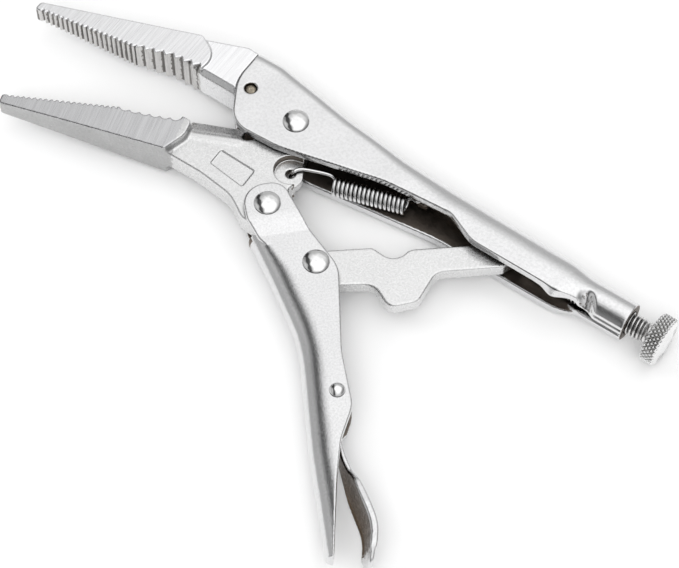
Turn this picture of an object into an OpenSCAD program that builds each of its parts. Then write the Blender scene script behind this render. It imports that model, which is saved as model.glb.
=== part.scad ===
// Long-nose locking pliers, lying flat on one side and opened wide.
//
// The model is drawn about the main rivet: +X runs back along the adjusting screw, +Y towards the
// back of the upper handle, and Z = 0 is the middle plane of the tool. placed() then stands it on
// its lowest rivet head, with the origin under the middle of the whole tool.

/* [Sheet and widths] */
// Thickness of the upper handle's sheet
sheet_t = 2.4; // [2:0.1:2.6]
// Outer width of the upper handle
handle_w = 11.2; // [11:0.1:12]
// Thickness of the lower handle's sheet
lower_sheet_t = 2; // [1.6:0.1:2.2]
// Thickness of the toggle link
link_t = 3.8; // [3:0.1:4]
// Side play between parts that move past each other
side_play = 0.15; // [0.1:0.05:0.2]

/* [Jaws] */
// Width of the jaw pads at their rear
pad_w = 11.5; // [10:0.1:12]
// Width of the jaw pads at the tip
tip_w = 4.6; // [3:0.1:6]
// Depth of the fine teeth
fine_tooth = 0.7; // [0.3:0.1:0.9]
// Depth of the coarse pipe teeth
coarse_tooth = 1; // [0.5:0.1:1.2]
// How far the lower jaw stands open, in degrees
jaw_open = 15.8; // [15.8:0.1:16.4]

/* [Rivets and pins] */
// Diameter of the rivet shanks
rivet_d = 5; // [4:0.1:5.4]
// Diameter of the domed rivet heads
rivet_head_d = 6.4; // [6:0.1:7]
// Height of the domed rivet heads
rivet_head_h = 1.2; // [0.8:0.1:1.4]
// Diameter of the jaw pin
jaw_pin_d = 3; // [2:0.1:3.2]
// Diameter of the lever pin
lever_pin_d = 2.4; // [2:0.1:2.6]
// Running clearance round a moving shank
running_gap = 0.05; // [0.02:0.01:0.08]

/* [Adjusting screw] */
// Outer diameter of the tail tube
tube_d = 9.6; // [9.2:0.1:10.4]
// Outer diameter of the screw thread
screw_d = 5.6; // [5:0.1:5.8]
// Pitch of the screw thread
screw_pitch = 1; // [0.8:0.05:1.2]
// Diameter of the knurled knob
knob_d = 12.4; // [11:0.1:13]
// Length of the knob along the screw
knob_l = 4; // [3:0.1:6]
// Length of screw that shows between tube and knob
screw_out = 5.8; // [5:0.1:8]

/* [Spring] */
// Outer diameter of the spring coils
spring_d = 4.4; // [4:0.1:4.8]
// Diameter of the spring wire
wire_d = 0.9; // [0.7:0.05:1]
// Number of coils
coils = 17; // [15:1:19]

/* [Hidden] */
$fn = 64;

// Half widths, measured out from the middle plane
handle_half = handle_w / 2;
channel_half = handle_half - sheet_t;
jaw_half = channel_half - side_play;
ear_in = jaw_half + side_play;
ear_out = ear_in + lower_sheet_t;
link_half = link_t / 2;
grip_in = link_half + 2 * side_play;
grip_out = grip_in + lower_sheet_t;
neck_half = handle_half - 0.5;
lug_half = 1.1;
far = 30;

// Pivots, from the main rivet
handle_pivot = [7.75, -23];
link_pivot = [26.4, -29.3];
jaw_pin_at = [-14.9, 1.7];
screw_y = 1;
link_end = [63.3, screw_y];
lower_angle = -46;
link_angle = atan2(link_end.y - link_pivot.y, link_end.x - link_pivot.x);
link_l = norm(link_end - link_pivot);

// The upper handle's tube and the screw, along X
narrow_start = 77;
tube_start = 82;
tube_end = 95.5;
knob_start = tube_end + screw_out;
knob_end = knob_start + knob_l;
tip_start = link_end.x + 2.8;
tip_l = 3;

// The whole tool's box in X and Y, and the height of the middle plane above the floor
box_low = [-75.7, -89.751];
box_high = [knob_end + 0.4, 12.9];
middle_height = handle_half + rivet_head_h;

module placed() {
    translate([-(box_low.x + box_high.x) / 2, -(box_low.y + box_high.y) / 2, middle_height])
        children();
}

// Moves a shape drawn in the lower handle's own frame: X from the handle rivet to the tail
module on_lower_handle() {
    translate(handle_pivot) rotate(lower_angle) children();
}

// An outline whose corners [x, y, r] are rounded to radius r; r = 0 leaves a corner sharp
function unit(v) = v / norm(v);
function corner(a, b, c) =
    let (
        p = [b.x, b.y],
        u = unit([a.x, a.y] - p),
        v = unit([c.x, c.y] - p),
        half = acos(max(-1, min(1, u * v))) / 2,
        r = b.z,
        centre = p + unit(u + v) * r / sin(half),
        start = p + u * r / tan(half),
        sweep = 180 - 2 * half,
        steps = max(1, ceil(sweep / 12)),
        turn = (u.x * v.y - u.y * v.x) > 0 ? -1 : 1
    )
    r == 0 || sweep < 0.5 ? [p] : [for (i = [0:steps])
        let (q = start - centre, t = turn * sweep * i / steps)
        centre + [q.x * cos(t) - q.y * sin(t), q.x * sin(t) + q.y * cos(t)]];
function rounded(pts) =
    let (n = len(pts))
    [for (i = [0:n - 1]) each corner(pts[(i + n - 1) % n], pts[i], pts[(i + 1) % n])];

module plate(pts, low, high) {
    translate([0, 0, low]) linear_extrude(high - low) polygon(rounded(pts));
}

module drill(at, d, half = far) {
    translate([at.x, at.y, -half]) cylinder(d = d, h = 2 * half);
}

// Keeps what lies between two side faces that narrow from half width a at x0 to b at x1
module taper(x0, a, x1, b) {
    intersection() {
        children();
        rotate([90, 0, 0]) translate([0, 0, -100]) linear_extrude(200)
            polygon([[x0, -a], [x1, -b], [x1, b], [x0, a]]);
    }
}

// ---- Upper handle: one pressed channel, rolled into a tube at the tail ----

nose_x = -19.4;
wall_end = tube_start + 3;
wall_end_half = tube_d / 2 - 0.2;
narrowing = (handle_half - wall_end_half) / (wall_end - narrow_start);
back_line = [[nose_x, 12.9, 1.2], [-12, 12.9, 14], [10, 9.3, 60], [28, 7.4, 60], [76, 6.6, 20],
    [wall_end, screw_y + tube_d / 2 - 0.3, 0]];
nose_line = [[-13, -9.2, 7], [nose_x, 2, 12]];

// Inner face of the web, a sheet's thickness below the back
web_inside = [for (p = concat([[nose_x - 5, back_line[0].y]], [for (i = [1:4]) back_line[i]],
    [[tube_start - 2, back_line[4].y]])) [p.x, p.y - sheet_t]];

module upper_handle_side(low_line) {
    polygon(rounded(concat(back_line, low_line, nose_line)));
}
near_line = [[wall_end, -3.2, 0], [76, -4.2, 8], [53.5, -4.1, 8], [45.5, -0.5, 5], [27, -2, 30],
    [0, -8.6, 20]];
far_line = [[wall_end, -3.2, 0], [76, -4.2, 8], [44, -4.3, 30], [9, -8.8, 20], [0, -9, 20]];

module upper_handle() {
    color("silver") placed() difference() {
        union() {
            // Both walls draw in to the tube's width at the tail
            taper(nose_x - 1, handle_half + narrowing * (narrow_start - nose_x + 1), wall_end,
                wall_end_half) {
                linear_extrude(handle_half) upper_handle_side(near_line);
                mirror([0, 0, 1]) linear_extrude(handle_half) upper_handle_side(far_line);
            }
            translate([tube_start - 2, screw_y, 0]) rotate([0, 90, 0])
                cylinder(d = tube_d, h = tube_end - tube_start + 2);
        }
        // Inside of the channel, with the web left along the back
        translate([0, 0, -channel_half]) linear_extrude(2 * channel_half)
            polygon(concat([[nose_x - 5, -far]], web_inside, [[tube_start - 2, -far]]));
        // Tapped bore of the tube, and the seam where the rolled edges meet
        translate([tube_start - 5, screw_y, 0]) rotate([0, 90, 0])
            cylinder(d = screw_d + 2 * running_gap, h = far);
        translate([tube_start - 5, screw_y - 2 * tube_d, -0.2])
            cube([far, 2 * tube_d, 0.4]);
        drill([0, 0], rivet_d);
        drill(jaw_pin_at, jaw_pin_d);
    }
}

// Tab pressed into the channel for the rear hook of the spring
anchor_at = [36.9, 1.9];
anchor_half_l = 1.8;
anchor_half_t = 0.9;
module spring_anchor() {
    x0 = anchor_at.x - anchor_half_l;
    x1 = anchor_at.x + anchor_half_l;
    low = anchor_at.y - 2;
    color("gray") placed() difference() {
        plate([[x0, low, 1.2], [x1, low, 1.2], [x1, lookup(x1, web_inside), 0],
            [x0, lookup(x0, web_inside), 0]], -anchor_half_t, anchor_half_t);
        drill(anchor_at, 1.6);
    }
}

// ---- Upper jaw: pad with teeth, neck, and a tang inside the channel ----

pad_rear = -28.6;
pad_tip = -75.7;
module upper_pad_side() {
    polygon(rounded([[pad_tip, -5.1, 1], [pad_tip, -7.8, 0.6], [-46.6, -4.2, 0], [-37, -1.3, 14],
        [pad_rear, -1.4, 0.8], [pad_rear + 0.9, 4.4, 5], [-34.2, 8.3, 2]]));
}

// Grooves across a pad: fine ones towards the tip, coarse ones in the pipe grip behind them
module fine_grooves(from, to, pitch, slope, y0) {
    count = floor((to - from) / pitch);
    for (i = [0:count])
        translate([from + i * pitch, y0 + slope * i * pitch, 0]) rotate(45 + atan(slope))
            cube([fine_tooth * sqrt(2), fine_tooth * sqrt(2), far], center = true);
}
module coarse_grooves(points) {
    for (p = points)
        translate([p.x, p.y, -far]) cylinder(r = coarse_tooth, h = 2 * far);
}

upper_coarse = [for (i = [0:5]) [-44.4 + 2.75 * i, -3.6 + 0.72 * i - (i > 3 ? 0.5 * (i - 3) : 0)]];

module upper_jaw() {
    color("gainsboro") placed() {
        difference() {
            taper(pad_tip - 0.5, tip_w / 2, pad_rear + 1.5, pad_w / 2)
                translate([0, 0, -far]) linear_extrude(2 * far) upper_pad_side();
            fine_grooves(pad_tip + 1.6, -47, 1.5, 0.125, -7.7);
            coarse_grooves(upper_coarse);
        }
        // Neck, with its lower edges chamfered
        difference() {
            plate([[-33, -0.4, 0], [-33, 7.6, 0], [-22.5, 11.8, 2.5], [nose_x - 0.05, 11.2, 0],
                [nose_x - 0.05, -1.2, 0], [-28, -1.2, 0]], -neck_half, neck_half);
            for (s = [-1, 1])
                translate([-31, -1.2, s * neck_half]) rotate([45, 0, 0])
                    cube([30, 1.8, 1.8], center = true);
        }
        // Tang between the walls of the handle
        difference() {
            plate([[nose_x - 4, 0, 0], [nose_x - 4, 9, 0], [-17, 10.2, 1], [-8, 9.3, 1], [-8, 6.6, 1],
                [-10.6, 2, 2], [-10.6, -1.2, 0]], -jaw_half, jaw_half);
            drill(jaw_pin_at, jaw_pin_d);
        }
    }
}

module jaw_pin() {
    color("dimgray") placed() drill(jaw_pin_at, jaw_pin_d, handle_half - 0.4);
}

// ---- Rivets: a shank with a domed head at each end ----

module rivet(at, d, head_d, head_h, half) {
    rim = 0.35;
    sphere_r = (head_d * head_d / 4 + (head_h - rim) * (head_h - rim)) / (2 * (head_h - rim));
    dome = [for (i = [0:10])
        let (x = head_d / 2 * (1 - i / 10))
        [x, half + head_h - sphere_r + sqrt(sphere_r * sphere_r - x * x)]];
    translate([at.x, at.y, 0]) rotate_extrude()
        polygon(concat([[0, 0], [d / 2, 0], [d / 2, half], [head_d / 2, half]], dome));
    translate([at.x, at.y, 0]) mirror([0, 0, 1]) rotate_extrude()
        polygon(concat([[0, 0], [d / 2, 0], [d / 2, half], [head_d / 2, half]], dome));
}

module main_rivet() {
    color("whitesmoke") placed() rivet([0, 0], rivet_d, rivet_head_d, rivet_head_h, handle_half);
}

module handle_rivet() {
    color("whitesmoke") placed() rivet(handle_pivot, rivet_d, rivet_head_d, rivet_head_h, ear_out);
}

module link_rivet() {
    color("whitesmoke") placed() rivet(link_pivot, rivet_d, rivet_head_d, rivet_head_h, grip_out);
}

// ---- Lower jaw, drawn with its bottom level, then opened about the main rivet ----

lower_tip = -72.6;
lower_coarse = [for (i = [0:5]) [-41.5 + 2.7 * i, -9.1 + 0.03 * i * i]];
spring_hole = [2.8, -12.2];

module lower_pad_side() {
    polygon(rounded([[lower_tip, -13.6, 0.8], [lower_tip, -16.4, 0.8], [-55, -16.8, 60],
        [-27.9, -17.7, 0.8], [-24.4, -12.2, 5], [-24.3, -8.1, 1.2], [-27, -7.3, 2], [-31, -8.8, 12],
        [-43, -9.1, 0]]));
}

panel_depth = 0.25;

// Forged body: a round boss on each pivot, the heel between them, and the lug
module lower_jaw_body() {
    difference() {
        union() {
            plate([[-29, -16.9, 0], [-29, -9.8, 0], [-23, -9.5, 0], [-9, -7.2, 3], [-5, -1, 0],
                [5, -1, 0], [6.2, -8, 2], [6.1, -14, 2.5], [4.3, -17.8, 1.5], [6.4, -22, 3],
                [5.4, -28, 3], [0.4, -30.4, 3], [-4.2, -28.6, 3], [-8.8, -23.7, 10],
                [-18, -19.9, 20]], -jaw_half, jaw_half);
            translate([0, 0, -jaw_half]) cylinder(r = 6.8, h = 2 * jaw_half);
        }
        // Both faces step down to a thin lug round the spring's hole
        for (low = [lug_half, -far])
            translate([0, 0, low]) {
                translate(spring_hole) cylinder(r = 4.1, h = far - lug_half);
                translate([spring_hole.x, spring_hole.y - 2.6, 0]) cube([10, 6.7, far - lug_half]);
            }
        drill([0, 0], rivet_d + 2 * running_gap);
        rotate(-jaw_open) drill(handle_pivot, rivet_d + 2 * running_gap);
        drill(spring_hole, 2.4);
        // Empty panel sunk into the upper face
        plate([[-16.4, -16.6, 0.3], [-6.7, -20.6, 0.3], [-5.3, -15.3, 0.3], [-15.2, -12.2, 0.3]],
            jaw_half - panel_depth, far);
    }
}

// Wire cutter: a ridge along the top of the body, in front of the main rivet
module cutter_ridge() {
    half = jaw_half - 0.3;
    translate([-24.6, -11.4, 0]) rotate([90, 0, 90 + 8]) linear_extrude(13.5)
        polygon([[0, -half], [2.6, -half], [6.2, -0.5], [6.2, 0.5], [2.6, half], [0, half]]);
}

module lower_jaw() {
    color("gainsboro") placed() rotate(jaw_open) {
        difference() {
            taper(lower_tip - 0.5, tip_w / 2, -23.5, pad_w / 2)
                translate([0, 0, -far]) linear_extrude(2 * far) lower_pad_side();
            fine_grooves(lower_tip + 1.5, -44, 1.5, 0.148, -13.5);
            coarse_grooves(lower_coarse);
        }
        lower_jaw_body();
        cutter_ridge();
    }
}

// ---- Lower handle: channel with two ears set out round the lower jaw ----

lower_tail = 92.4;
lower_back = [[lower_tail, -0.9, 0.5], [66, -0.4, 60], [37, 1.6, 40], [18, -2.8, 30], [7.2, -5.9, 0]];
lower_open = [[7.2, 8.5, 0], [19.5, 14.2, 9], [42, 11.2, 20], [56.5, 11.4, 8], [64.5, 7.3, 10],
    [74, 4.8, 20], [lower_tail, 0.3, 0.5]];

// Outline of the hollow: the back moved in by the sheet's thickness, open past the other edge
hollow_end = lower_tail - 4;
lower_inside = concat([[hollow_end, lower_back[1].y + lower_sheet_t, 0]],
    [for (i = [1:3]) lower_back[i] + [0, lower_sheet_t, 0]],
    [lower_back[4] + [-1, lower_sheet_t - 0.3, 0], [lower_back[4].x - 1, far, 0], [hollow_end, far, 0]]);

// The far wall is cut lower towards the tail, to clear the wide side of the release lever
far_wall_cut = [[60.5, far, 0], [60.5, 9.35, 2], [65, 4.4, 4], [74, 3.2, 0], [lower_tail + 1, 0, 0],
    [lower_tail + 1, far, 0]];

module lower_handle() {
    color("silver") placed() difference() {
        on_lower_handle() {
            // Channel body, hollow from the open side
            difference() {
                plate(concat(lower_back, lower_open), -grip_out, grip_out);
                plate(lower_inside, -grip_in, grip_in);
                plate(far_wall_cut, -far, -grip_in + 0.1);
            }
            // Ears
            for (s = [-1, 1])
                plate([[-5.8, -5.8, 5.7], [3.4, -5.6, 5], [9, -3.4, 0], [9, 9.1, 0], [-1.4, 5.8, 0],
                    [-5.8, 4.6, 4.4]], s > 0 ? ear_in : -ear_out, s > 0 ? ear_out : -ear_in);
            // Step between each ear and the channel
            for (s = [-1, 1])
                plate([[7.2, -4.2, 0], [9, -3.4, 0], [9, 9.1, 0], [7.2, 8.5, 0]],
                    s > 0 ? grip_in : -ear_out, s > 0 ? ear_out : -grip_in);
        }
        drill(handle_pivot, rivet_d);
        drill(link_pivot, rivet_d);
        on_lower_handle() drill(lever_pin_at, lever_pin_d);
    }
}

// ---- Toggle link: flat link whose far end bears on the screw, with a lobe below ----

module toggle_link() {
    color("silver") placed() difference() {
        translate(link_pivot) rotate(link_angle)
            plate([[-5.2, -4.3, 4.6], [-5.2, 4.4, 4.6], [13.8, 4.2, 2], [19, -0.6, 4], [22.5, 2.9, 3],
                [link_l - 4.6, 2.9, 1], [link_l, 1.4, 1.6], [link_l, -2, 1.8], [link_l - 3.4, -3.9, 1],
                [28.4, -3.9, 4], [23.2, -11.6, 3.2], [16.2, -12.6, 3], [13.2, -6, 4], [2, -5.4, 8]],
                -link_half, link_half);
        drill(link_pivot, rivet_d + 2 * running_gap);
    }
}

// ---- Release lever: sheet lever, narrow inside the handle and cupped at the tail ----

lever_pin_at = [52.2, 8.4];
lever_sheet = 1.3;
lever_half = grip_in - side_play;
paddle_half = 4.8;
// The tail is rolled about this height, which drops its far edge
lever_roll = 10;
roll_height = 8.4;

// Tail: a sheet that leaves the channel, then widens to a paddle with round corners, first on its
// far side
module lever_tail() {
    waist = lever_half - 0.6;
    plan = [[56, waist, 0], [71.5, waist, 1.5], [75, paddle_half - 0.6, 3], [81, paddle_half, 8],
        [91, paddle_half, 3], [96, 2.6, 0]];
    far_plan = [[96, -2.6, 0], [91, -paddle_half, 3], [81, -paddle_half, 8], [67.5, 0.6 - paddle_half, 3],
        [64, -waist, 1.5], [56, -waist, 0]];
    translate([0, roll_height, 0]) rotate([-lever_roll, 0, 0]) translate([0, -roll_height, 0])
        intersection() {
            plate([[56, 9.2, 0], [63, 7.2, 12], [76, 8.8, 30], [87, 11, 12], [96, 8.6, 0.8],
                [95.2, 7.2, 0], [87, 9.5, 12], [76, 7.4, 30], [64, 5.8, 10], [56, 7.4, 0]], -far, far);
            rotate([90, 0, 0]) translate([0, 0, -far]) linear_extrude(2 * far)
                polygon(rounded(concat(plan, far_plan)));
        }
}

module release_lever() {
    color("silver") placed() on_lower_handle() {
        difference() {
            plate([[43.5, 4.8, 1.2], [44.5, 8.6, 2], [52, 11.4, 3.4], [59, 9.6, 3], [62, 6.8, 0],
                [52, 5.4, 3]], -lever_half, lever_half);
            plate([[40, 0, 0], [40, 7.4, 0], [57, 7.4, 0], [57, 0, 0]], -lever_half + lever_sheet,
                lever_half - lever_sheet);
            drill(lever_pin_at, lever_pin_d + 2 * running_gap);
        }
        lever_tail();
    }
}

module lever_pin() {
    color("whitesmoke") placed() on_lower_handle()
        rivet(lever_pin_at, lever_pin_d, 3.6, 1.1, grip_out);
}

// ---- Spring: close-wound coils with a hook at each end ----

spring_start = [15.6, -7.2];
spring_end = [34.2, -2.1];
wire_sides = 8;

module tube_along(path, d, sides) {
    n = len(path);
    frames = [for (i = [0:n - 1])
        let (
            t = unit(path[min(i + 1, n - 1)] - path[max(i - 1, 0)]),
            a = unit(cross(t, [0.02, 0.05, 1])),
            b = cross(t, a)
        )
        for (k = [0:sides - 1])
            path[i] + d / 2 * (a * cos(360 * k / sides) + b * sin(360 * k / sides))];
    walls = [for (i = [0:n - 2], k = [0:sides - 1])
        [i * sides + k, i * sides + (k + 1) % sides, (i + 1) * sides + (k + 1) % sides,
            (i + 1) * sides + k]];
    caps = [[for (k = [sides - 1:-1:0]) k], [for (k = [0:sides - 1]) (n - 1) * sides + k]];
    polyhedron(frames, concat(walls, caps));
}

module tension_spring() {
    dir = unit(spring_end - spring_start);
    side = [-dir.y, dir.x];
    length = norm(spring_end - spring_start);
    r = (spring_d - wire_d) / 2;
    steps = 12;
    at = function (along, up, z)
        [spring_start.x + dir.x * along + side.x * up, spring_start.y + dir.y * along + side.y * up, z];
    helix = [for (i = [0:coils * steps])
        at(length * i / (coils * steps), r * cos(360 * i / steps), r * sin(360 * i / steps))];
    hole = [spring_hole.x * cos(jaw_open) - spring_hole.y * sin(jaw_open),
        spring_hole.x * sin(jaw_open) + spring_hole.y * cos(jaw_open)];
    front_hook = [[hole.x, hole.y, 0] + [1, -0.5, -1.9], [hole.x, hole.y, -1.2],
        [hole.x - 0.1, hole.y + 0.1, 0], [hole.x - 0.1, hole.y + 0.5, 1.3],
        [hole.x + 1, hole.y + 2.3, 1.7], at(-4, r, 1.2), at(-1.4, r, 0.4)];
    rear_hook = [at(length + 0.9, r, 0.3), [anchor_at.x - 0.5, anchor_at.y - 2.4, 1.7],
        [anchor_at.x, anchor_at.y - 0.7, 1.8], [anchor_at.x, anchor_at.y, 1.5],
        [anchor_at.x, anchor_at.y, -1.2]];
    color("gray") placed() tube_along(concat(front_hook, helix, rear_hook), wire_d, wire_sides);
}

// ---- Adjusting screw, its tip and its knob, all along X ----

module along_screw(x) {
    translate([x, screw_y, 0]) rotate([0, 90, 0]) children();
}

// Plain point of the screw, with a stem that turns inside the rod
stem_d = 2;
stem_l = 4;
module screw_tip() {
    color("gray") placed() along_screw(tip_start) rotate_extrude()
        polygon([[0, 0], [1.7, 0], [2.1, 0.4], [2.1, tip_l], [stem_d / 2, tip_l],
            [stem_d / 2, tip_l + stem_l], [0, tip_l + stem_l]]);
}

rod_start = tip_start + tip_l + 0.2;
module adjusting_screw() {
    collar_l = 1.2;
    rod_l = knob_start - rod_start;
    thread_end = rod_l - collar_l;
    turns = floor((thread_end - 1) / screw_pitch);
    depth = 0.45;
    groove = [for (i = [0:turns - 1])
        let (x = 0.6 + i * screw_pitch)
        each [[screw_d / 2, x], [screw_d / 2 - depth, x + 0.5 * screw_pitch]]];
    color("silver") placed() along_screw(rod_start) difference() {
        rotate_extrude() polygon(concat([[0, 0], [screw_d / 2 - 0.5, 0]], groove,
            [[screw_d / 2 - 0.2, thread_end], [screw_d / 2 - 0.2, rod_l], [0, rod_l]]));
        translate([0, 0, -1]) cylinder(r = stem_d / 2 + running_gap, h = stem_l + 1.2);
    }
}

module adjusting_knob() {
    ridges = 40;
    color("silver") placed() along_screw(knob_start) difference() {
        rotate_extrude() polygon([[0, 0], [knob_d / 2 - 0.8, 0], [knob_d / 2, 0.8],
            [knob_d / 2, knob_l - 0.4], [knob_d / 2 - 0.6, knob_l], [3.2, knob_l + 0.4],
            [0, knob_l + 0.4]]);
        for (i = [0:ridges - 1])
            rotate(360 * i / ridges) translate([knob_d / 2 + 0.1, 0, -1]) rotate(45)
                cube([0.5, 0.5, knob_l + 3], center = false);
    }
}

upper_handle();
spring_anchor();
upper_jaw();
jaw_pin();
main_rivet();
lower_jaw();
handle_rivet();
lower_handle();
link_rivet();
toggle_link();
lever_pin();
release_lever();
tension_spring();
screw_tip();
adjusting_screw();
adjusting_knob();
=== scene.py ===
"""Long-nose locking pliers in plated steel, lying open on a pale floor.

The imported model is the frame. Each visible piece is rebuilt here as a finer mesh round the same pivots.
Pressed and forged parts are the zero surfaces of distance fields. Rivets, pins, the thread, the knurl and the
spring are swept meshes. Shapes are in millimetres about the main rivet, and place() turns them into metres.
"""
import math

import bpy
import numpy as np
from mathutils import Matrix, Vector


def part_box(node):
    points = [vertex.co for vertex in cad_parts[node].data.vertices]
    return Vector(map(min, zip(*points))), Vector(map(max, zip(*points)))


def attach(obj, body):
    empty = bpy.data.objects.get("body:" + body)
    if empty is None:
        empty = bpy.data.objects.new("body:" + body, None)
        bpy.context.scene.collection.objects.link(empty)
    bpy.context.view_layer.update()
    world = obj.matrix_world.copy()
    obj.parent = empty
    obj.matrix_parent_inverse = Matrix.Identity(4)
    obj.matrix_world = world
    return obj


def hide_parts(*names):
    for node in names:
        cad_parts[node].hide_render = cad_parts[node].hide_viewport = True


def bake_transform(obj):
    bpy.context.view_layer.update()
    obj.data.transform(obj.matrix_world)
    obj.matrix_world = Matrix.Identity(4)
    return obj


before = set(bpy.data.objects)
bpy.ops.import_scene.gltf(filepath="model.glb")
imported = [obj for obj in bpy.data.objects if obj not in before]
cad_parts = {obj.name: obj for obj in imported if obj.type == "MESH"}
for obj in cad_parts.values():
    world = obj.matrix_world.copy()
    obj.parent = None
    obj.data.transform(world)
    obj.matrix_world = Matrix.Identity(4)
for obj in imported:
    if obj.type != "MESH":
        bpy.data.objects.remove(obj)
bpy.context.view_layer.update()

MM = 0.001


def middle(node):
    """The middle of a CAD node's box, in millimetres."""
    low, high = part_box(node)
    return np.array((low + high) / 2) / MM


# ---- Dimensions, in millimetres ----

RIVET = middle("main_rivet")
HANDLE_TURN = -46.0            # turn of the lower handle's own frame, in degrees
JAW_OPEN = 15.8                # turn of the lower jaw's own frame, in degrees
HANDLE_PIVOT = middle("handle_rivet") - RIVET
LINK_PIVOT = middle("link_rivet") - RIVET
SCREW_Y = 1.0
LINK_END = np.array((63.3, SCREW_Y, 0))
LINK_TURN = math.degrees(math.atan2(*(LINK_END - LINK_PIVOT)[[1, 0]]))
LINK_LENGTH = float(np.linalg.norm(LINK_END - LINK_PIVOT))

SHEET, LOWER_SHEET, LEVER_SHEET = 2.4, 2.0, 1.3
HANDLE_HALF, GRIP_HALF, EAR_HALF = 5.6, 4.2, 5.2
JAW_HALF, LINK_HALF, LEVER_HALF, PADDLE_HALF = 3.05, 1.9, 2.05, 4.8
RIVET_R, JAW_PIN_R, LEVER_PIN_R = 2.5, 1.5, 1.2
HEAD_R, HEAD_H = 3.2, 1.2
NOSE_X = -19.4
TUBE_R, BORE_R = 4.8, 2.85
TUBE_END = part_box("upper_handle")[1].x / MM - RIVET[0]
EDGE = 0.4                     # the rounding of a sheared sheet's edges
FAR = 200.0                    # beyond every piece


# ---- Fields: negative inside, in millimetres ----

def smooth(t):
    t = np.clip(t, 0, 1)
    return t * t * (3 - 2 * t)


def both(a, b, r=0.0):
    """Where a and b both hold, with the edge between them rounded to radius r."""
    if np.isscalar(r) and r == 0:
        return np.maximum(a, b)
    return np.minimum(np.maximum(a, b), -r) + np.hypot(np.maximum(a + r, 0), np.maximum(b + r, 0))


def either(a, b, r=0.0):
    """Where a or b holds, with the corner between them filleted to radius r."""
    return -both(-a, -b, r)


def unit(v):
    return v / np.linalg.norm(v)


def rounded(corners):
    """The outline through corners (x, y, r), each rounded to its radius r."""
    out = []
    for i, (x, y, r) in enumerate(corners):
        p = np.array((x, y), float)
        u = unit(np.array(corners[i - 1][:2]) - p)
        v = unit(np.array(corners[(i + 1) % len(corners)][:2]) - p)
        half = math.acos(max(-1.0, min(1.0, float(u @ v)))) / 2
        if r == 0 or math.pi - 2 * half < 0.01:
            out.append(p)
            continue
        centre = p + unit(u + v) * r / math.sin(half)
        start = p + u * r / math.tan(half) - centre
        sweep = (math.pi - 2 * half) * (-1 if u[0] * v[1] - u[1] * v[0] > 0 else 1)
        steps = max(2, math.ceil(abs(sweep) / math.radians(5)))
        for t in np.linspace(0, sweep, steps + 1):
            c, s = math.cos(t), math.sin(t)
            out.append(centre + (start[0] * c - start[1] * s, start[0] * s + start[1] * c))
    return np.array(out)


def outline(x, y, corners):
    """Distance to a closed outline in the XY plane, negative inside it."""
    points = rounded(corners)
    near = np.full(np.broadcast(x, y).shape, 1e9, np.float32)
    inside = np.zeros(near.shape, bool)
    for (ax, ay), (bx, by) in zip(points, np.roll(points, -1, axis=0)):
        ex, ey = bx - ax, by - ay
        t = np.clip(((x - ax) * ex + (y - ay) * ey) / max(ex * ex + ey * ey, 1e-12), 0, 1)
        near = np.minimum(near, (x - ax - t * ex) ** 2 + (y - ay - t * ey) ** 2)
        if ay != by:
            inside ^= ((ay > y) != (by > y)) & (x < ax + (y - ay) * ex / ey)
    near = np.sqrt(near)
    return np.where(inside, -near, near)


def slab(v, low, high):
    return np.maximum(low - v, v - high)


def hole(x, y, at, r):
    """Keeps what is outside a round hole along Z."""
    return r - np.hypot(x - at[0], y - at[1])


def surface(field, low, cell):
    """Surface nets: a vertex in each cell that the surface crosses, a quad over each crossed grid edge."""
    inside = field < 0
    nx, ny, nz = (n - 1 for n in field.shape)
    corners = [(i, j, k) for i in (0, 1) for j in (0, 1) for k in (0, 1)]
    count = sum(inside[i:nx + i, j:ny + j, k:nz + k].astype(np.uint8) for i, j, k in corners)
    active = (count > 0) & (count < 8)
    cells = np.argwhere(active)
    index = np.full(active.shape, -1, np.int64)
    index[active] = np.arange(len(cells))
    total, crossings = np.zeros((len(cells), 3)), np.zeros(len(cells))
    for corner in corners:
        for axis in range(3):
            if corner[axis]:
                continue
            step = np.eye(3, dtype=int)[axis]
            a = field[tuple((cells + corner).T)]
            b = field[tuple((cells + corner + step).T)]
            hit = (a < 0) != (b < 0)
            t = a[hit] / (a[hit] - b[hit])
            total[hit] += np.array(corner) + t[:, None] * step
            crossings += hit
    points = np.array(low) + cell * (cells + total / crossings[:, None])
    quads = []
    for axis in range(3):
        u, v = np.eye(3, dtype=int)[(axis + 1) % 3], np.eye(3, dtype=int)[(axis + 2) % 3]
        low_end = [slice(1, -1)] * 3
        high_end = list(low_end)
        low_end[axis], high_end[axis] = slice(0, -1), slice(1, None)
        here, there = inside[tuple(low_end)], inside[tuple(high_end)]
        shift = np.ones(3, int)
        shift[axis] = 0
        for edges, order in ((here & ~there, (0, 1, 2, 3)), (there & ~here, (3, 2, 1, 0))):
            at = np.argwhere(edges) + shift
            ring = [at - u - v, at - v, at, at - u]
            quads.append(np.stack([index[tuple(ring[k].T)] for k in order], axis=1))
    return points, np.concatenate(quads)


# ---- Meshes ----

def place(points, turn=0.0, at=(0, 0, 0)):
    """Points of a piece in its own frame, turned and moved about the main rivet, in metres in the frame."""
    c, s = math.cos(math.radians(turn)), math.sin(math.radians(turn))
    spin = np.array(((c, -s, 0), (s, c, 0), (0, 0, 1)))
    return (points @ spin.T + np.array(at) + RIVET) * MM


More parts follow.
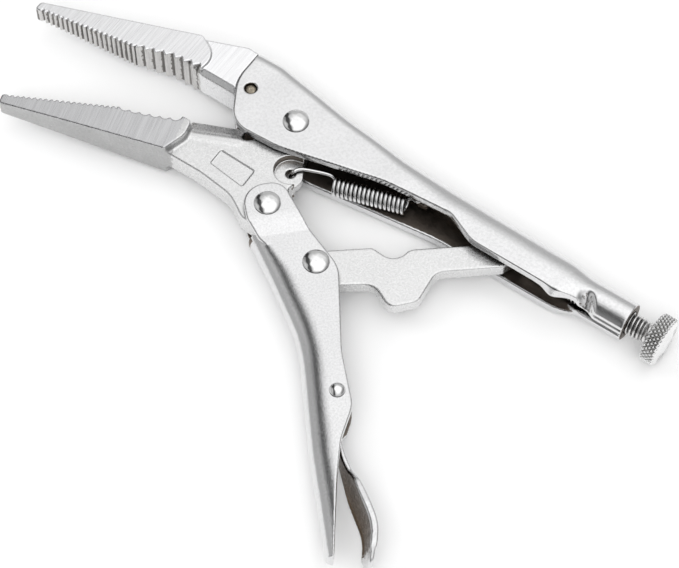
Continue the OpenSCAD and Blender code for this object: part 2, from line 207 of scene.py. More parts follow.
def piece(name, points, faces, body, nodes, materials, turn=0.0, at=(0, 0, 0), mark=None):
    """A smooth-shaded object on a body, or on none yet. mark(x, y, z) gives each face a material's number."""
    mesh = bpy.data.meshes.new(name)
    mesh.from_pydata(place(points, turn, at), [], faces)
    mesh.update()
    mesh.shade_smooth()
    for m in materials:
        mesh.materials.append(m)
    obj = bpy.data.objects.new(name, mesh)
    bpy.context.scene.collection.objects.link(obj)
    if mark is not None:
        centres = np.array([points[list(face)].mean(axis=0) for face in faces])
        mesh.polygons.foreach_set("material_index", mark(*centres.T).astype(np.int32))
    if body:
        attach(obj, body)
    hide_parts(*nodes)
    return obj


def thin(obj, ratio):
    """Merges triangles, the flattest first, until a share of them is left, and weights the normals."""
    fewer = obj.modifiers.new("fewer", "DECIMATE")
    fewer.ratio = ratio
    fewer.use_collapse_triangulate = True
    mesh = bpy.data.meshes.new_from_object(obj.evaluated_get(bpy.context.evaluated_depsgraph_get()))
    obj.modifiers.remove(fewer)
    obj.data = mesh
    weigh = obj.modifiers.new("weighted", "WEIGHTED_NORMAL")
    weigh.keep_sharp = True
    return obj


def solid(name, field, low, high, cell, body, nodes, materials, turn=0.0, at=(0, 0, 0), mark=None,
          keep=0.35):
    """A piece whose surface is where field(x, y, z) is zero, sampled every cell in the box from low to high.

    keep is the share of its triangles that stays.
    """
    axes = [np.arange(a, b + cell, cell, dtype=np.float32) for a, b in zip(low, high)]
    x, y, z = axes[0][:, None, None], axes[1][None, :, None], axes[2][None, None, :]
    values = np.broadcast_to(field(x, y, z), tuple(len(a) for a in axes))
    points, faces = surface(np.ascontiguousarray(values, dtype=np.float32), low, cell)
    obj = piece(name, points, faces, body, nodes, materials, turn, at, mark)
    return thin(obj, keep)


def grid_faces(rows, columns, wrap=True):
    """Quads between rows of points, each row closed into a ring if wrap holds."""
    r = np.arange(rows - 1)[:, None]
    c = np.arange(columns if wrap else columns - 1)[None, :]
    d = (c + 1) % columns
    return np.stack([r * columns + c, r * columns + d, (r + 1) * columns + d, (r + 1) * columns + c],
                    axis=-1).reshape(-1, 4)


def closed(points, rows, columns):
    """The faces of a tube of rings, with a fan over each end."""
    faces = grid_faces(rows, columns)
    first, last = len(points), len(points) + 1
    ends = np.array([points[:columns].mean(axis=0), points[-columns:].mean(axis=0)])
    c = np.arange(columns)
    d = (c + 1) % columns
    top = (rows - 1) * columns
    caps = [(int(b), int(a), first) for a, b in zip(c, d)]
    caps += [(int(top + a), int(top + b), last) for a, b in zip(c, d)]
    return np.concatenate([points, ends]), [list(map(int, q)) for q in faces] + caps


def turned(profile, sides, shape=None):
    """A solid turned about Z from a profile of (radius, height). shape(angle, height, radius) alters it."""
    profile = np.array(profile, float)
    angle = np.arange(sides) / sides * 2 * math.pi
    r, h = profile[:, :1], profile[:, 1:]
    if shape is not None:
        r = shape(angle[None, :], h, r)
    ring = np.stack([r * np.cos(angle), r * np.sin(angle), h + 0 * angle + 0 * r], axis=-1)
    return closed(ring.reshape(-1, 3), len(profile), sides)


def along_x(points, x):
    """A solid made about Z, laid along the screw from x on."""
    return np.stack([points[:, 2] + x, points[:, 0] + SCREW_Y, points[:, 1]], axis=-1)


# ---- Materials ----

def nodes_of(material):
    material.use_nodes = True
    tree = material.node_tree
    return tree, tree.nodes["Principled BSDF"]


def add(tree, kind, **values):
    node = tree.nodes.new(kind)
    for key, value in values.items():
        if hasattr(node, key):
            setattr(node, key, value)
        else:
            node.inputs[key].default_value = value
    return node


def remap(tree, value, low, high, to_low, to_high):
    node = add(tree, "ShaderNodeMapRange", interpolation_type="SMOOTHSTEP")
    for name, number in (("From Min", low), ("From Max", high), ("To Min", to_low), ("To Max", to_high)):
        node.inputs[name].default_value = number
    tree.links.new(value, node.inputs["Value"])
    return node.outputs["Result"]


def blend(tree, amount, a, b):
    """A colour between a and b, each a colour or a socket."""
    node = add(tree, "ShaderNodeMix", data_type="RGBA")
    tree.links.new(amount, node.inputs["Factor"])
    for name, value in (("A", a), ("B", b)):
        if isinstance(value, tuple):
            node.inputs[name].default_value = (*value, 1)
        else:
            tree.links.new(value, node.inputs[name])
    return node.outputs["Result"]


def shade(colour, k):
    return tuple(min(1.0, c * k) for c in colour)


def metal(name, colour, rough, grain, depth, stretch=(1, 1, 1), turn=0.0, stain=0.08, speckle=0.0, crevice_shade=0.2,
          wave=0.0):
    """Plated or bare steel.

    grain is the fine texture's features per millimetre and depth its height in millimetres. stretch
    multiplies the features per millimetre along each axis, after a turn about Z. stain and speckle vary the
    colour at random. In crevices and where pieces touch, the colour darkens as painted shade, to the share of
    it given by the argument after speckle. wave is the height in millimetres of a slow unevenness left by
    pressing and polishing.
    """
    material = bpy.data.materials.new(name)
    tree, shader = nodes_of(material)
    link = tree.links.new
    shader.inputs["Metallic"].default_value = 1.0
    where = tree.nodes.new("ShaderNodeTexCoord").outputs["Object"]
    lie = add(tree, "ShaderNodeMapping", vector_type="TEXTURE")
    lie.inputs["Rotation"].default_value = (0, 0, math.radians(turn))
    lie.inputs["Scale"].default_value = tuple(MM / s for s in stretch)
    link(where, lie.inputs["Vector"])
    fine = add(tree, "ShaderNodeTexNoise", Scale=grain, Detail=5.0, Roughness=0.6)
    link(lie.outputs["Vector"], fine.inputs["Vector"])
    broad = add(tree, "ShaderNodeTexNoise", Scale=0.11 / MM, Detail=3.0, Roughness=0.55)
    link(where, broad.inputs["Vector"])
    link(remap(tree, fine.outputs["Fac"], 0.2, 0.8, rough * 0.65, rough * 1.35), shader.inputs["Roughness"])
    out = blend(tree, broad.outputs["Fac"], shade(colour, 1 - stain), shade(colour, 1 + stain * 0.6))
    streak = remap(tree, fine.outputs["Fac"], 0.35, 0.7, 0.0, 0.25)
    out = blend(tree, streak, out, shade(colour, 0.72))
    if speckle:
        spots = add(tree, "ShaderNodeTexNoise", Scale=2.2 / MM, Detail=2.0)
        link(where, spots.inputs["Vector"])
        share = remap(tree, spots.outputs["Fac"], 0.58, 0.70, 0.0, speckle)
        out = blend(tree, share, out, shade(colour, 2.2))
    # Painted shade: an occlusion test darkens the colour in crevices and where pieces touch.
    corner = add(tree, "ShaderNodeAmbientOcclusion", samples=12)
    corner.inputs["Distance"].default_value = 1.3 * MM
    out = blend(tree, remap(tree, corner.outputs["AO"], 0.25, 0.85, 0.0, 1.0), shade(colour, crevice_shade), out)
    link(out, shader.inputs["Base Color"])
    bump = add(tree, "ShaderNodeBump", Strength=1.0, Distance=depth * MM)
    link(fine.outputs["Fac"], bump.inputs["Height"])
    if wave:
        slow = add(tree, "ShaderNodeTexNoise", Scale=0.045 / MM, Detail=1.0)
        link(where, slow.inputs["Vector"])
        swell = add(tree, "ShaderNodeBump", Strength=1.0, Distance=wave * MM)
        link(slow.outputs["Fac"], swell.inputs["Height"])
        link(swell.outputs["Normal"], bump.inputs["Normal"])
    link(bump.outputs["Normal"], shader.inputs["Normal"])
    return material


GRINDING = (1.5, 0.05, 1)      # fine along the jaw, drawn out across it
plated = metal("plated_sheet", (0.77, 0.77, 0.775), 0.19, 1.3, 0.006, stain=0.04, wave=1.2)
plated_lower = metal("plated_lower", (0.75, 0.75, 0.755), 0.21, 2.0, 0.026, turn=HANDLE_TURN, stain=0.04,
                     wave=0.5)
# Painted shade: dark steel laid where shade falls, in the channels, bore, holes and spring recess, on the
# tube's end and the tab.
inside = metal("channel_inside_shade", (0.21, 0.18, 0.155), 0.42, 1.2, 0.03, stain=0.3)
# The lever's hollow side: brown steel, darkened further as painted shade of the hollow.
lever_brown_and_shade = metal("lever_brown_and_shade", (0.12, 0.09, 0.065), 0.28, 1.0, 0.02, stain=0.5, speckle=0.35)
forged = metal("forged_steel", (0.78, 0.78, 0.78), 0.30, 2.2, 0.026, stain=0.07)
ground = metal("ground_pad", (0.92, 0.92, 0.93), 0.24, 1.5, 0.012, stretch=GRINDING, stain=0.03)
# Painted shade: the ground pad's finish again, but darker, for the lower jaw's pad.
ground_shaded_copy = metal("ground_pad_lower_shaded", (0.63, 0.63, 0.64), 0.24, 1.5, 0.012, stretch=GRINDING,
                     turn=JAW_OPEN, stain=0.03)
teeth = metal("cut_teeth", (0.68, 0.67, 0.66), 0.27, 2.6, 0.05, stretch=(1, 1, 0.08), stain=0.2, crevice_shade=0.06)
# Painted shade: dark colour in the teeth's grooves and under the upper jaw's neck.
valley_shade = metal("tooth_valley_shade", (0.24, 0.23, 0.22), 0.34, 2.6, 0.06, stretch=(1, 1, 0.1), stain=0.3,
               crevice_shade=0.05)
polished = metal("rivet_steel", (0.88, 0.88, 0.88), 0.07, 1.0, 0.006, stain=0.02, crevice_shade=0.06)
pin_end = metal("dark_pin", (0.34, 0.30, 0.24), 0.35, 1.6, 0.12, stain=0.3, speckle=0.7, crevice_shade=0.1)
wire = metal("spring_wire", (0.84, 0.84, 0.84), 0.14, 3.0, 0.004, stain=0.04, crevice_shade=0.08)
cut_thread = metal("screw_steel", (0.74, 0.735, 0.73), 0.22, 2.4, 0.012, stain=0.12, crevice_shade=0.05)
# Painted shade: forged steel made darker, on the underside of the lower jaw's pad.
flank_shade = metal("forged_flank_shade", (0.50, 0.50, 0.50), 0.36, 1.6, 0.03, stain=0.15, crevice_shade=0.1)
# Painted shade: darker colour in the thread's grooves.
thread_root_shade = metal("thread_groove_shade", (0.34, 0.335, 0.33), 0.34, 2.4, 0.02, stain=0.1, crevice_shade=0.05)
# Crumpled sheet round the dent: rough and speckled, and made dark as painted shade of the dent.
pinched_and_shade = metal("pinched_sheet_and_shade", (0.45, 0.44, 0.43), 0.24, 2.2, 0.09, stain=0.3, speckle=0.9, crevice_shade=0.1)
knurled = metal("knob_steel", (0.90, 0.90, 0.90), 0.17, 2.0, 0.010, stain=0.05, crevice_shade=0.3)
# Painted shade: darker colour in the knurl's grooves.
knurl_shade = metal("knurl_groove_shade", (0.52, 0.515, 0.50), 0.30, 2.4, 0.02, stain=0.1, crevice_shade=0.15)


# ---- Upper handle: a pressed channel, drawn in to a tube at the tail ----

BACK_TOP, TUBE_TOP = 12.9, 5.7
BACK = [(-12, BACK_TOP, 14), (10, 9.3, 60), (28, 7.4, 60), (76, 6.6, 20)]
NEAR_EDGE = [(0, -8.6, 20), (27, -2, 30), (45.5, -0.5, 5), (53.5, -4.1, 8), (76, -4.2, 8), (85, -3.2, 0)]
FAR_EDGE = [(0, -9, 20), (9, -8.8, 20), (44, -4.3, 30), (76, -4.2, 8), (85, -3.2, 0)]
JAW_PIN_AT = (-14.9, 1.7)
TUBE_FROM, TUBE_BLEND = 77.5, 9.5    # where the channel starts to turn into the tube, and over what length
LENS_X, LENS_LENGTH, LENS_OUT = 77, 2.6, 0.55
DENT_FROM, DENT_TO = np.array((84.3, -1.4, 5.2)), np.array((86.0, -4.4, 2.3))
DENT_R, DENT_ROUND = 1.6, 1.0
SEAM_Z, SEAM_HALF, SEAM_FROM = 0.3, 0.18, 82
LIP_Y, LIP_Z, LIP_R, LIP_FROM = -3.5, 2.3, 0.42, 87
OUTER_BEND = 3.8
UPPER_ROUND = 0.7              # towards the tail, the width of a bend over its depth


def upper_hollow(x, y, z):
    """The channel's back, half width and bend radius, and the room inside it."""
    back = outline(x, y, [(-FAR, -FAR, 0), (-FAR, BACK_TOP, 0), *BACK, (86, TUBE_TOP, 10), (FAR, TUBE_TOP, 0),
                          (FAR, -FAR, 0)])
    half = HANDLE_HALF - 0.9 * smooth((x - 77) / 9)
    rear = smooth((x - 15) / 30)
    bend = OUTER_BEND + 0.9 * rear
    squeeze = 1 - (1 - UPPER_ROUND) * rear
    hollow = both((back + SHEET) * squeeze, np.abs(z) - (half - SHEET), bend - SHEET)
    return back * squeeze, half, bend, hollow


NOSE = [(NOSE_X, BACK_TOP, 1.2), (NOSE_X, 2, 12), (-13, -9.2, 7)]
TOP = [(FAR, -3.2, 0), (FAR, BACK_TOP, 0)]


def upper_cut(x, y, z):
    """Keeps the side outline. The near edge is cut back, and curls out in a short lens before the tube."""
    lens = LENS_OUT * np.exp(-((x - LENS_X) / LENS_LENGTH) ** 2) * np.clip(HANDLE_HALF - z, 0, SHEET)
    return np.where(z > 0, outline(x, y + lens, NOSE + NEAR_EDGE + TOP), outline(x, y, NOSE + FAR_EDGE + TOP))


def pinch(x, y, z):
    """Distance to the line of the dent that holds the near wall down where the tube starts."""
    run = DENT_TO - DENT_FROM
    dx, dy, dz = x - DENT_FROM[0], y - DENT_FROM[1], z - DENT_FROM[2]
    t = np.clip((dx * run[0] + dy * run[1] + dz * run[2]) / (run @ run), 0, 1)
    return np.sqrt((dx - t * run[0]) ** 2 + (dy - t * run[1]) ** 2 + (dz - t * run[2]) ** 2)


def upper_shell(x, y, z):
    """The channel, which turns into the tube over a few millimetres, with its dent, seam, lip and holes."""
    back, half, bend, hollow = upper_hollow(x, y, z)
    outer = both(back, np.abs(z) - half, bend)
    channel = both(np.maximum(outer, -hollow), upper_cut(x, y, z), EDGE)
    ring = np.hypot(y - SCREW_Y, z)
    tube = slab(ring, BORE_R, TUBE_R)
    share = smooth((x - TUBE_FROM) / TUBE_BLEND)
    body = channel * (1 - share) + tube * share
    body = both(body, DENT_R - pinch(x, y, z), DENT_ROUND)
    widening = 0.8 * smooth((88.5 - x) / 5)
    seam = np.maximum(np.maximum(np.abs(z - SEAM_Z) - SEAM_HALF - widening, y - SCREW_Y), SEAM_FROM - x)
    body = both(body, -seam, 0.7)
    lip = np.maximum(np.hypot(y - LIP_Y, z - LIP_Z) - LIP_R, LIP_FROM - x)
    body = both(body, -lip, 0.25)
    body = both(body, x - TUBE_END, 0.45)
    body = both(body, hole(x, y, (0, 0), RIVET_R), 0.15)
    return both(body, hole(x, y, JAW_PIN_AT, JAW_PIN_R + 0.05), 0.2)


def upper_marks(x, y, z):
    """Painted shade: 1 in the channel, bore and pin hole and on the tube's end, 2 on the crumpled sheet at
    the dent.
    """
    hollow = upper_hollow(x, y, z)[3]
    wall = (np.abs(hollow) < 0.2) & (upper_cut(x, y, z) < -0.6) & (x < 84)
    bore = (np.hypot(y - SCREW_Y, z) < BORE_R + 0.25) & (x > 80)
    pin_hole = np.hypot(x - JAW_PIN_AT[0], y - JAW_PIN_AT[1]) < JAW_PIN_R + 0.15
    crumple = pinch(x, y, z) < 1.5 + 0.45 * np.sin(5 * x + 3 * z) * np.sin(4 * y)
    return np.where(wall | bore | (x > TUBE_END - 0.12) | pin_hole, 1, np.where(crumple, 2, 0))


solid("upper_handle_shell", upper_shell, (-20.4, -10.2, -6.6), (TUBE_END + 1, 13.9, 6.6), 0.24,
      "upper_handle", ["upper_handle"], [plated, inside, pinched_and_shade], mark=upper_marks)


# ---- Upper jaw ----

PAD_TIP, PAD_REAR = -75.7, -28.6
PAD_END = PAD_REAR + 1.5       # where the pad would be at its full width
PAD_HALF, TIP_HALF = 5.75, 2.3
BITE_SLOPE = 0.124             # rise of the biting face towards the rear
TOOTH_PITCH, TOOTH_DEPTH = 1.42, 0.75
TEETH_START, TEETH_END = PAD_TIP + 1.4, -46.4
NOTCHES, NOTCH_START, NOTCH_PITCH = 7, -44.9, 2.55
NECK_HALF = HANDLE_HALF - 0.5


def tooth_wave(u, first):
    """From 0 in the middle of a groove to 1 on a tooth, in a row of teeth that starts at first."""
    return np.abs(((u - first) / TOOTH_PITCH) % 1.0 - 0.5) * 2


def teeth_depth(u, first, last):
    """Depth of a row of V grooves at a place u along the jaw."""
    depth = TOOTH_DEPTH * (1 - tooth_wave(u, first)) * 1.15 - 0.15 * TOOTH_DEPTH
    return np.where((u > first) & (u < last), depth, 0)


def pad_half(x, tip, rear):
    return TIP_HALF + (PAD_HALF - TIP_HALF) * (x - tip) / (rear - tip)


def pad(x, y, z, corners, tip, rear):
    """A jaw's pad, which narrows to its tip."""
    return both(outline(x, y, corners), np.abs(z) - pad_half(x, tip, rear), 0.35)


def coarse_notches(x, y):
    """Distance into the V notches of the pipe grip, negative inside a notch."""
    near = np.full(np.broadcast(x, y).shape, FAR)
    for i in range(NOTCHES):
        top = -2.5 + 0.72 * i - (0.42 * (i - 3) if i > 3 else 0)
        near = np.minimum(near, (y - top + np.abs(x - NOTCH_START - NOTCH_PITCH * i)) / math.sqrt(2))
    return near


def upper_jaw_field(x, y, z):
    """The pad with its two kinds of teeth, the neck, and the tang that sits between the handle's walls."""
    side = [(PAD_TIP, -5.1, 1), (PAD_TIP, -7.8, 0.6), (-46.6, -4.2, 0), (-37, -1.3, 14),
            (PAD_REAR, -1.4, 0.8), (PAD_REAR + 0.9, 4.4, 5), (-34.2, 8.3, 2)]
    grip = pad(x, y, z, side, PAD_TIP, PAD_END)
    bite = -7.75 + BITE_SLOPE * (x - PAD_TIP) - y
    fine = bite + teeth_depth(x, TEETH_START, TEETH_END)
    grip = np.maximum(grip, np.where(x < TEETH_END + 0.2, fine * 0.8, -9))
    grip = both(grip, -coarse_notches(x, y), 0.1)
    neck_side = [(-33, -0.4, 0), (-33, 7.6, 0), (-22.5, 11.8, 2.5), (NOSE_X + 6, 11.2, 0),
                 (NOSE_X + 6, -1.2, 0), (-28, -1.2, 0)]
    neck = both(outline(x, y, neck_side), np.abs(z) - NECK_HALF, 0.45)
    neck = both(neck, 0.06 - outline(x, y, NOSE + FAR_EDGE + TOP), 0.1)
    neck = both(neck, (np.abs(z) - NECK_HALF - (y + 1.2) + 1.3) / math.sqrt(2), 0.2)
    tang_side = [(NOSE_X - 4, 0, 0), (NOSE_X - 4, 9, 0), (-17, 10.2, 1), (-8, 9.3, 1), (-8, 6.6, 1),
                 (-10.6, 2, 2), (-10.6, -1.2, 0)]
    tang = both(outline(x, y, tang_side), np.abs(z) - JAW_HALF, 0.3)
    tang = both(tang, hole(x, y, JAW_PIN_AT, JAW_PIN_R))
    return either(either(grip, neck, 0.25), tang, 0.1)


def upper_jaw_marks(x, y, z):
    """1 on the teeth, 2 painted shade in their valleys and under the neck."""
    fine = (x < -46) & (y < -6.2 + BITE_SLOPE * (x - PAD_TIP))
    coarse = (x >= -46) & (x < PAD_REAR) & (y < -2.2 + 0.16 * (x + 46))
    notch = (x > -46.5) & (x < PAD_REAR) & (np.abs(coarse_notches(x, y)) < 0.15)
    cut = (fine | coarse | notch) & (np.abs(z) < pad_half(x, PAD_TIP, PAD_END) - 0.25)
    under = (x > PAD_REAR + 0.9) & (x < NOSE_X) & (y < 0.4) & (z < -3.7)
    notch_wave = np.abs(((x - NOTCH_START) / NOTCH_PITCH + 0.5) % 1.0 - 0.5)
    deep = np.where(x < TEETH_END, tooth_wave(x, TEETH_START) < 0.42, notch_wave < 0.14)
    return np.where(under, 2, np.where(cut, np.where(deep, 2, 1), 0))


solid("upper_jaw_forging", upper_jaw_field, (-76.4, -9, -6.4), (-7, 13, 6.4), 0.2, "upper_handle",
      ["upper_jaw"], [ground, teeth, valley_shade], mark=upper_jaw_marks, keep=0.4)


# ---- Lower jaw, in its own frame with the bottom level ----

LOWER_TIP, LOWER_PAD_END = -72.6, -23.5
LOWER_BITE_SLOPE = 0.152
LOWER_TEETH_START, LOWER_TEETH_END = LOWER_TIP + 1.3, -43.4
SCALLOPS, SCALLOP_START, SCALLOP_PITCH, SCALLOP_R = 6, -41.5, 2.6, 1.5
SPRING_HOLE = (2.8, -12.2)
SPRING_HOLE_R, RECESS_R, WEB_HALF = 1.2, 4.1, 1.1
BOSS_R = 6.8
CUTTER_X, CUTTER_Y, CUTTER_TILT = -24.6, -11.4, math.radians(8)
CUTTER_LENGTH, CUTTER_HALF = 13.5, 2.75
BEVEL = (2.25, 3.6)            # run and rise of the cutter's bevels
PANEL = [(-16.4, -16.6, 0.5), (-6.7, -20.6, 0.5), (-5.3, -15.3, 0.5), (-15.2, -12.2, 0.5)]
PANEL_DEPTH = 0.35


def turned_point(p, degrees):
    c, s = math.cos(math.radians(degrees)), math.sin(math.radians(degrees))
    return np.array((p[0] * c - p[1] * s, p[0] * s + p[1] * c))


HANDLE_IN_JAW = turned_point(HANDLE_PIVOT, -JAW_OPEN)


def lower_jaw_field(x, y, z):
    """The pad, the flat body with its lug, spring recess and panel, and the wire cutter's ridge."""
    side = [(LOWER_TIP, -13.6, 0.8), (LOWER_TIP, -16.4, 0.8), (-55, -16.8, 60), (-27.9, -17.7, 0.8),
            (-24.4, -12.2, 5), (-24.3, -8.1, 1.2), (-27, -7.3, 2), (-31, -8.8, 12), (-43, -9.1, 0)]
    grip = pad(x, y, z, side, LOWER_TIP, LOWER_PAD_END)
    bite = y - (-13.55 + LOWER_BITE_SLOPE * (x - LOWER_TIP))
    fine = bite + teeth_depth(x, LOWER_TEETH_START, LOWER_TEETH_END)
    grip = np.maximum(grip, np.where(x < LOWER_TEETH_END + 0.2, fine * 0.8, -9))
    for i in range(SCALLOPS):
        at = (SCALLOP_START + SCALLOP_PITCH * i, -8.3 + 0.03 * i * i)
        grip = both(grip, hole(x, y, at, SCALLOP_R), 0.3)
    body_side = [(-29, -16.9, 0), (-29, -9.8, 0), (-23, -9.5, 0), (-9, -7.2, 3), (-5, -1, 0), (5, -1, 0),
                 (4.9, -8.5, 3), (6.3, -13.2, 2.5), (4.2, -17.6, 1), (6.4, -22, 3), (5.4, -28, 3),
                 (0.4, -30.4, 3), (-4.2, -28.6, 3), (-8.8, -23.7, 10), (-18, -19.9, 20)]
    body = outline(x, y, body_side)
    body = np.minimum(body, np.hypot(x, y) - BOSS_R)
    body = both(body, np.abs(z) - JAW_HALF, 0.55)
    recess = np.minimum(np.hypot(x - SPRING_HOLE[0], y - SPRING_HOLE[1]) - RECESS_R,
                        np.maximum(np.abs(y - SPRING_HOLE[1] - 0.75) - 3.35, SPRING_HOLE[0] - x))
    body = both(body, -both(recess, WEB_HALF - np.abs(z)), 0.15)
    u = (x - CUTTER_X) * math.cos(CUTTER_TILT) + (y - CUTTER_Y) * math.sin(CUTTER_TILT)
    v = -(x - CUTTER_X) * math.sin(CUTTER_TILT) + (y - CUTTER_Y) * math.cos(CUTTER_TILT)
    side_face = np.abs(z) - CUTTER_HALF
    slope = ((v - 2.6) * BEVEL[0] + side_face * BEVEL[1]) / math.hypot(*BEVEL)
    ridge = both(slab(u, 0, CUTTER_LENGTH), np.maximum(v - 6.2, -v), 0.25)
    ridge = both(ridge, both(side_face, slope, 0.3), 0.2)
    whole = either(either(grip, body, 0.9), ridge, 0.8)
    whole = both(whole, -both(outline(x, y, PANEL), JAW_HALF - PANEL_DEPTH - z, 0.05), 0.05)
    whole = both(whole, hole(x, y, (0, 0), RIVET_R + 0.05))
    whole = both(whole, hole(x, y, HANDLE_IN_JAW, RIVET_R + 0.05))
    return both(whole, hole(x, y, SPRING_HOLE, SPRING_HOLE_R), 0.25)


def lower_jaw_marks(x, y, z):
    """1 on the pad, 2 on the teeth, 3 in the spring's recess and hole, 4 in the valleys, 5 on the pad's
    underside; all but 2 are painted shade.
    """
    half = pad_half(x, LOWER_TIP, LOWER_PAD_END)
    rise = np.where(x < LOWER_TEETH_END + 0.2, -14.9 + LOWER_BITE_SLOPE * (x - LOWER_TIP), -10.2)
    top = (y > rise) & (x < -28) & (np.abs(z) < half - 0.3)
    deep = top & (x < LOWER_TEETH_END) & (tooth_wave(x, LOWER_TEETH_START) < 0.42)
    away = np.hypot(x - SPRING_HOLE[0], y - SPRING_HOLE[1])
    recess = (away > RECESS_R - 0.2) & (away < RECESS_R + 0.4) & (x < 5)
    recess &= (np.abs(z) < JAW_HALF - 0.15) & (np.abs(z) > WEB_HALF + 0.1)
    on_pad = x < -26.2
    below = on_pad & (y < -15.9) & (np.abs(z) < half - 0.25)
    return np.select([recess | (away < SPRING_HOLE_R + 0.1), deep, top, below, on_pad], [3, 4, 2, 5, 1], 0)


solid("lower_jaw_forging", lower_jaw_field, (-73.4, -31.4, -6.4), (8.6, 8, 6.4), 0.2, "lower_jaw",
      ["lower_jaw"], [forged, ground_shaded_copy, teeth, inside, valley_shade, flank_shade], turn=JAW_OPEN,
      mark=lower_jaw_marks, keep=0.4)


# ---- Lower handle, in its own frame with X from the handle rivet to the tail ----

LOWER_TAIL = 92.35
LOWER_BACK = [(7.2, -5.9, 0), (18, -2.8, 30), (37, 1.6, 40), (66, -0.4, 60), (LOWER_TAIL, -0.9, 0)]
LOWER_OPEN = [(19.5, 14.2, 9), (42, 11.2, 20), (56.5, 11.4, 8), (64.5, 7.3, 10), (74, 4.8, 20)]
FAR_WALL_CUT = [(60.5, 40, 0), (60.5, 9.35, 2), (65, 4.4, 4), (74, 3.2, 0), (LOWER_TAIL + 1, 0.8, 0),
                (LOWER_TAIL + 1, 40, 0)]
LOWER_BEND = 4.0
LOWER_ROUND = 0.62             # past the ears, the width of a bend over its depth
EAR_FLAT_X, CREASE_X = 2.6, 8.4
EAR = [(-5.8, -5.8, 5.7), (3.4, -5.6, 5), (9, -3.4, 0), (11, -2, 0), (11, 10, 0), (9, 9.1, 0), (-1.4, 5.8, 0),
       (-5.8, 4.6, 4.4)]
LEVER_PIN = middle("lever_pin") - RIVET - HANDLE_PIVOT
LEVER_PIN_AT = turned_point(LEVER_PIN, -HANDLE_TURN)
LINK_RIVET_AT = turned_point(LINK_PIVOT - HANDLE_PIVOT, -HANDLE_TURN)


def lower_half(x):
    """Half width: the ears are set out past the channel, and slope down to a sharp crease."""
    down = np.clip((x - EAR_FLAT_X) / (CREASE_X - EAR_FLAT_X), 0, 1)
    return GRIP_HALF + (EAR_HALF - GRIP_HALF) * (1 - down ** 2)


def lower_hollow(x, y, z):
    """The channel's back, and the room inside it, which ends before the closed tail."""
    back = outline(x, y, [(-FAR, -65.4, 0), *LOWER_BACK, (FAR, -2.8, 0), (FAR, FAR, 0), (-FAR, FAR, 0)])
    squeeze = 1 - (1 - LOWER_ROUND) * smooth((x - 8) / 12)
    walls = np.abs(z) - (lower_half(x) - LOWER_SHEET)
    hollow = both((back + LOWER_SHEET) * squeeze, walls, LOWER_BEND - LOWER_SHEET)
    return back * squeeze, both(hollow, x - (LOWER_TAIL - 3), 1.0)


def lower_shell(x, y, z):
    """The channel, open along its upper side and lower on its far wall, and the two ears."""
    back, hollow = lower_hollow(x, y, z)
    half = lower_half(x)
    outer = both(back, np.abs(z) - half, LOWER_BEND)
    cut = outline(x, y, [(7.2, -FAR, 0), (7.2, 8.5, 0), *LOWER_OPEN, (LOWER_TAIL, 1.1, 0.9),
                         (LOWER_TAIL, -0.9, 0.5), (LOWER_TAIL - 2, -FAR, 0)])
    cut = both(cut, np.where(z > 0, -9, -outline(x, y, FAR_WALL_CUT)))
    channel = both(np.maximum(outer, -hollow), cut, EDGE)
    wall = slab(np.abs(z), half - LOWER_SHEET, half)
    ear = both(wall, outline(x, y, EAR), EDGE)
    whole = np.minimum(channel, ear)
    for at, r in (((0, 0), RIVET_R), (LINK_RIVET_AT, RIVET_R), (LEVER_PIN_AT, LEVER_PIN_R)):
        whole = both(whole, hole(x, y, at, r), 0.1)
    return whole


def lower_marks(x, y, z):
    """1, painted shade, inside the channel and between the ears."""
    hollow = lower_hollow(x, y, z)[1]
    return (np.abs(hollow) < 0.2) | (x < CREASE_X) & (np.abs(z) < lower_half(x) - LOWER_SHEET + 0.15)


solid("lower_handle_shell", lower_shell, (-6.8, -7.4, -5.9), (93.4, 15.4, 5.9), 0.22, "lower_handle",
      ["lower_handle"], [plated_lower, inside], turn=HANDLE_TURN, at=HANDLE_PIVOT,
      mark=lower_marks)


# ---- Toggle link ----

LINK_SIDE = [(-5.2, -4.3, 4.6), (-5.2, 4.4, 4.6), (13.8, 4.2, 2), (19, -0.6, 4), (22.5, 2.9, 3),
             (LINK_LENGTH - 4.6, 2.9, 1), (LINK_LENGTH, 1.4, 1.6), (LINK_LENGTH, -2, 1.8),
             (LINK_LENGTH - 3.4, -3.9, 1), (28.4, -3.9, 4), (23.2, -11.6, 3.2), (16.2, -12.6, 3),
             (13.2, -6, 4), (2, -5.4, 8)]


def link_field(x, y, z):
    plate = both(outline(x, y, LINK_SIDE), np.abs(z) - LINK_HALF, 0.5)
    return both(plate, hole(x, y, (0, 0), RIVET_R + 0.05))


solid("toggle_link_plate", link_field, (-6.4, -14, -2.6), (LINK_LENGTH + 1, 5.4, 2.6), 0.2, "toggle_link",
      ["toggle_link"], [forged], turn=LINK_TURN, at=LINK_PIVOT, keep=0.4)


# ---- Release lever, in the lower handle's frame ----

LEVER_LINE = np.array([(54, 8.4), (58, 8.3), (63, 7.0), (68, 7.1), (76, 8.35), (82, 9.6), (86.5, 10.35),
                       (90, 9.7), (96, 7.9)])
WAIST_HALF = 1.5


def lever_middle(x, z):
    """Height of the middle of the lever's sheet: rolled over to the far side and dished across."""
    blur = sum(np.interp(x + shift, *LEVER_LINE.T) for shift in (-2, -1, 1, 2))
    along = (np.interp(x, *LEVER_LINE.T) + blur) / 5
    wide = smooth((x - 65) / 10)
    return along + z * (0.06 + 0.15 * wide) + 0.5 * wide * (1 - (z / PADDLE_HALF) ** 2) - 0.1


